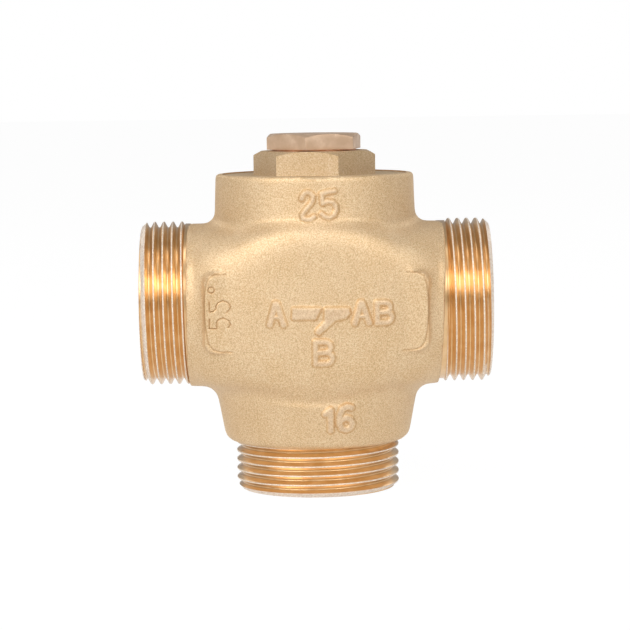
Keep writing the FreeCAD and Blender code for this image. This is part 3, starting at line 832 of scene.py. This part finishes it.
# The last cut leaves a few faulty faces, which validate takes out. The bores at the ports
# and in the collar are turned bright.
casting.data.validate()
bore_radius = 15.9 * MM
side_bore_from = 32.5 * MM
low_bore_to = 17.2 * MM
collar_bore_radius = 23.6 * MM
collar_bore_from = axis_height + 24.5 * MM
for face in casting.data.polygons:
    centre = face.center
    from_run = math.hypot(centre.y, centre.z - axis_height)
    from_stem = math.hypot(centre.x, centre.y)
    in_side_bore = from_run < bore_radius and abs(centre.x) > side_bore_from
    in_low_bore = from_stem < bore_radius and centre.z < low_bore_to
    in_collar = from_stem < collar_bore_radius and centre.z > collar_bore_from
    if in_side_bore or in_low_bore or in_collar:
        face.material_index = turned_face
shaded(casting, sharp_angle=32)
shares = casting.data.attributes.new("mark", "FLOAT", "POINT")
for vert in casting.data.vertices:
    height = marked(vert.co)
    depth_of_kind = raised if height > 0 else -engraved
    shares.data[vert.index].value = 0.5 + 0.5 * height / depth_of_kind
casting.name = "body_casting"
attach(casting, "housing")
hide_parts("valve_body")


# The cover is a brass casting with a rough hexagon of 27 mm. It is screwed into the collar
# and down on its rubber ring, and closes the way by which the insert goes in.
def round_edges(target, width):
    """Round the sharp edges of a piece by a width in millimetres."""
    edge = target.modifiers.new("edge", "BEVEL")
    edge.width = width * MM
    edge.segments = 3
    edge.limit_method = "ANGLE"
    edge.angle_limit = math.radians(20)
    baked(target)


def dressed(target, finish):
    """Give an object one finish on all its faces."""
    target.data.materials.clear()
    target.data.materials.append(finish)


cover_level = 0.75
cover_pits = 0.11
cover_skin, tree, place, metal, skin = cast_skin("rough_cast_brass", cover_level, cover_pits)
tree.links.new(skin, metal.inputs["Base Color"])
cover = merged_copy("cover_hexagon", "cover")
dressed(cover, cover_skin)
round_edges(cover, 0.35)
shaded(cover, sharp_angle=40)
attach(cover, "housing")
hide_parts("cover")


# The plug is cut from hexagon bar of 22 mm and blasted lightly. It is screwed into the
# cover and down on a thin washer, and the pin that the thermostat pushes on stands in it.
plug_skin, tree, place, metal = new_finish("blasted_bar_brass")
metal.inputs["Metallic"].default_value = 0.6
metal.inputs["Roughness"].default_value = 0.42
bar = tones(tree, grain(tree, place, 3.5, 4.0), [
    (0.38, (0.64, 0.44, 0.29)),
    (0.55, (0.72, 0.51, 0.35)),
    (0.66, (0.82, 0.62, 0.45)),
])
tree.links.new(bar, metal.inputs["Base Color"])
tree.links.new(bumped(tree, grain(tree, place, 0.3, 2.0), 0.02, 0.6), metal.inputs["Normal"])
plug = merged_copy("plug_hexagon", "end_plug")
dressed(plug, plug_skin)
round_edges(plug, 0.25)
shaded(plug, sharp_angle=40)
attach(plug, "housing")
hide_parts("end_plug")


# The washer under the plug is thin copper, and the wax capsule inside is deep drawn from
# copper sheet, because copper lets the heat of the water through.
def metal_finish(name, dark, light, patch, rough_range, pit, pit_depth):
    """Metal with patches of two tones, a range of roughness and fine pits, in millimetres."""
    finish, tree, place, metal = new_finish(name)
    metal.inputs["Metallic"].default_value = 1.0
    patches = tones(tree, grain(tree, place, patch, 3.0), [(0.35, dark), (0.65, light)])
    tree.links.new(patches, metal.inputs["Base Color"])
    varied_roughness(tree, metal, grain(tree, place, patch / 3, 3.0), *rough_range)
    tree.links.new(bumped(tree, grain(tree, place, pit, 2.0), pit_depth, 0.6), metal.inputs["Normal"])
    return finish


drawn_copper = metal_finish(
    "drawn_copper", (0.58, 0.27, 0.15), (0.80, 0.43, 0.28), 2.4, (0.28, 0.48), 0.3, 0.015
)
dressed(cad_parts["plug_washer"], drawn_copper)
dressed(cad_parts["wax_capsule"], drawn_copper)


# The rings that seal are moulded in black rubber with a faint bloom: one under the cover,
# a gasket under the seat plate, two on the discs and a wiper round the pin.
moulded_rubber, tree, place, rubber = new_finish("moulded_rubber")
rubber.inputs["Roughness"].default_value = 0.58
bloom = tones(tree, grain(tree, place, 2.0, 3.0), [
    (0.4, (0.018, 0.018, 0.02)),
    (0.7, (0.05, 0.05, 0.052)),
])
tree.links.new(bloom, rubber.inputs["Base Color"])
tree.links.new(bumped(tree, grain(tree, place, 0.2, 2.0), 0.012, 0.7), rubber.inputs["Normal"])
for node in ("cover_o_ring", "plate_gasket", "main_valve_seal", "bypass_seal", "pin_wiper_ring"):
    dressed(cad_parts[node], moulded_rubber)


# The seat plate and the stirrup that hangs in its slots are stamped from stainless sheet
# and tumbled, which leaves a dull and slightly scratched face.
tumbled_stainless = metal_finish(
    "tumbled_stainless", (0.46, 0.45, 0.43), (0.66, 0.65, 0.63), 1.6, (0.30, 0.46), 0.35, 0.012
)
dressed(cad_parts["seat_plate"], tumbled_stainless)
dressed(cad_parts["lower_frame"], tumbled_stainless)


# The circlip over the plate and the clip on the stem are stamped from spring steel, which
# is blued in oil, so they are the darkest metal inside.
blued_steel = metal_finish(
    "blued_steel", (0.16, 0.16, 0.17), (0.30, 0.29, 0.29), 1.2, (0.32, 0.5), 0.25, 0.01
)
dressed(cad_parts["retaining_ring"], blued_steel)
dressed(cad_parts["stem_clip"], blued_steel)


# The piston pin and the bypass stem are ground from stainless bar and polished, so they
# slide easily in the guide and in the bypass disc.
ground_steel = metal_finish(
    "ground_steel", (0.60, 0.60, 0.60), (0.74, 0.74, 0.73), 0.7, (0.12, 0.24), 0.15, 0.004
)
dressed(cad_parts["piston_pin"], ground_steel)
dressed(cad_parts["bypass_stem"], ground_steel)


# The two discs, the guide and the seat ring are turned from brass bar. The tool leaves fine
# rings round the valve's own axis. The wave node turns one unit into 20 radians.
ring_pitch = 0.6 * MM
radians_to_unit = 20
lathe_brass, tree, place, metal = new_finish("lathe_brass")
metal.inputs["Metallic"].default_value = 1.0
metal.inputs["Roughness"].default_value = 0.26
bar = tones(tree, grain(tree, place, 2.5, 3.0), [
    (0.35, (0.74, 0.47, 0.20)),
    (0.65, (0.86, 0.60, 0.30)),
])
tree.links.new(bar, metal.inputs["Base Color"])
rings = tree.nodes.new("ShaderNodeTexWave")
rings.wave_type = "RINGS"
rings.rings_direction = "Z"
rings.inputs["Scale"].default_value = math.tau / (radians_to_unit * ring_pitch)
rings.inputs["Distortion"].default_value = 0.4
tree.links.new(place, rings.inputs["Vector"])
tree.links.new(bumped(tree, rings.outputs["Fac"], 0.01, 0.5), metal.inputs["Normal"])
for node in ("main_valve_disc", "element_guide", "bypass_disc", "bypass_seat_ring"):
    dressed(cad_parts[node], lathe_brass)


# Two springs are wound from drawn steel wire and ground flat at their ends: the return
# spring in the stirrup, and the small one that lets the bypass disc yield on its seat. Each
# row gives its fixed end and the share of its length that is left at its joint's limit.
drawn_wire = metal_finish(
    "drawn_wire", (0.36, 0.36, 0.36), (0.52, 0.51, 0.50), 0.8, (0.22, 0.36), 0.12, 0.006
)
for name, node, body, joint, anchor, keep in (
    ("return_coil", "return_spring", "housing", "thermostat_travel", 35.5 * MM, 0.548),
    ("bypass_coil", "bypass_spring", "shuttle", "bypass_yield", 33.5 * MM, 0.659),
):
    coil = merged_copy(name, node)
    dressed(coil, drawn_wire)
    shaded(coil, sharp_angle=40)
    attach(coil, body)
    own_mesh(coil)
    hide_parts(node)
